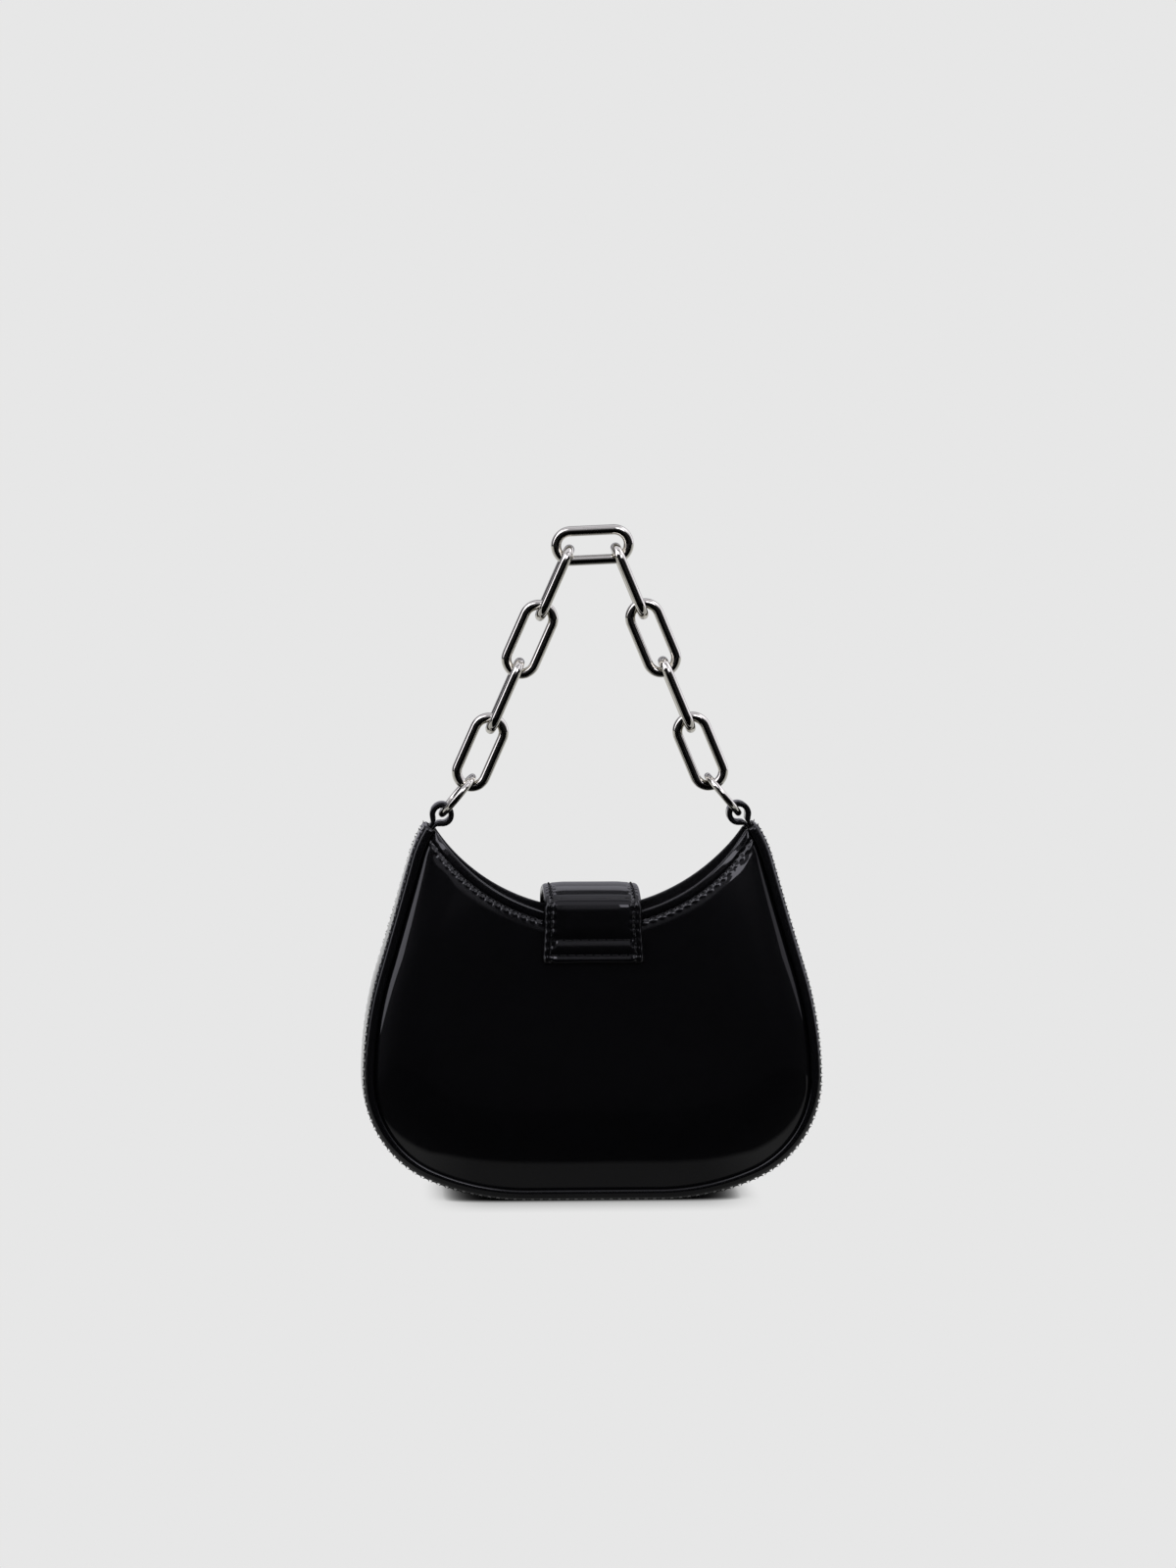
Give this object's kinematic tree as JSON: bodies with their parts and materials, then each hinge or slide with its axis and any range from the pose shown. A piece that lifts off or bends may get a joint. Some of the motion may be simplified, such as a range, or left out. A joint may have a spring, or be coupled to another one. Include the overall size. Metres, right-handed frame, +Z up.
{
  "type": "mini handbag",
  "caption": "Small structured shoulder bag with a curved open mouth, a short chain handle on rings and a magnetic closing tab.",
  "frame": {"origin": "centre of the flat base, on the surface that the bag stands on", "axes": "+X across the bag to the right seen from the back, +Y from the back to the front, +Z up"},
  "size_m": [0.201, 0.0644, 0.2924],
  "materials": {
    "patent_leather": "high gloss patent coat",
    "matte_leather": "matte, fine grain",
    "lining_cloth": "plain weave",
    "fibreboard": "raw board",
    "nickel": "polished nickel plate",
    "magnet_steel": "plain"
  },
  "bodies": {
    "bag": {"back_panel": "patent_leather", "front_panel": "patent_leather", "gusset": "patent_leather", "facing_back": "matte_leather", "facing_front": "matte_leather", "stiffener_back": "fibreboard", "stiffener_front": "fibreboard", "lining_back": "lining_cloth", "lining_front": "lining_cloth", "lining_gusset": "lining_cloth", "base_board": "fibreboard", "loop_left": "patent_leather", "loop_right": "patent_leather", "flap_anchor": "patent_leather", "keeper_disc": "magnet_steel"},
    "flap": {"flap_strap": "patent_leather", "flap_backing": "matte_leather", "flap_magnet": "magnet_steel"},
    "ring_left": {"ring_left": "nickel"},
    "ring_right": {"ring_right": "nickel"},
    "handle": {"link_5": "nickel"},
    "link_1": {"link_1": "nickel"},
    "link_2": {"link_2": "nickel"},
    "link_3": {"link_3": "nickel"},
    "link_4": {"link_4": "nickel"},
    "link_6": {"link_6": "nickel"},
    "link_7": {"link_7": "nickel"},
    "link_8": {"link_8": "nickel"},
    "link_9": {"link_9": "nickel"}
  },
  "joints": [
    {"name": "flap_hinge", "type": "hinge", "parent": "bag", "child": "flap", "pos_m": [0, -0.02643, 0.11834], "axis": [1, 0, 0], "range_deg": [0, 150]},
    {"name": "handle_swing", "type": "hinge", "parent": "bag", "child": "handle", "pos_m": [0, 0, 0.177], "axis": [1, 0, 0], "range_deg": [-50, 50]},
    {"name": "ring_left_swing", "type": "hinge", "parent": "bag", "child": "ring_left", "pos_m": [-0.06486, 0, 0.16622], "axis": [0, -1, 0], "range_deg": [0, 3]},
    {"name": "ring_right_swing", "type": "hinge", "parent": "bag", "child": "ring_right", "pos_m": [0.06486, 0, 0.16622], "axis": [0, 1, 0], "range_deg": [0, 3]},
    {"name": "link_1_roll", "type": "hinge", "parent": "handle", "child": "link_1", "pos_m": [-0.04804, 0, 0.19314], "axis": [0.4034, 0, 0.915], "range_deg": [-8, 8]},
    {"name": "link_2_roll", "type": "hinge", "parent": "handle", "child": "link_2", "pos_m": [-0.03719, 0, 0.21776], "axis": [0.4034, 0, 0.915], "range_deg": [-8, 8]},
    {"name": "link_3_roll", "type": "hinge", "parent": "handle", "child": "link_3", "pos_m": [-0.02634, 0, 0.24237], "axis": [0.4034, 0, 0.915], "range_deg": [-8, 8]},
    {"name": "link_4_roll", "type": "hinge", "parent": "handle", "child": "link_4", "pos_m": [-0.01549, 0, 0.26699], "axis": [0.4034, 0, 0.915], "range_deg": [-8, 8]},
    {"name": "link_6_roll", "type": "hinge", "parent": "handle", "child": "link_6", "pos_m": [0.01717, 0, 0.26768], "axis": [-0.3852, 0, 0.9228], "range_deg": [-8, 8]},
    {"name": "link_7_roll", "type": "hinge", "parent": "handle", "child": "link_7", "pos_m": [0.02753, 0, 0.24285], "axis": [-0.3852, 0, 0.9228], "range_deg": [-8, 8]},
    {"name": "link_8_roll", "type": "hinge", "parent": "handle", "child": "link_8", "pos_m": [0.0379, 0, 0.21803], "axis": [-0.3852, 0, 0.9228], "range_deg": [-8, 8]},
    {"name": "link_9_roll", "type": "hinge", "parent": "handle", "child": "link_9", "pos_m": [0.04826, 0, 0.19321], "axis": [-0.3852, 0, 0.9228], "range_deg": [-8, 8]}
  ]
}
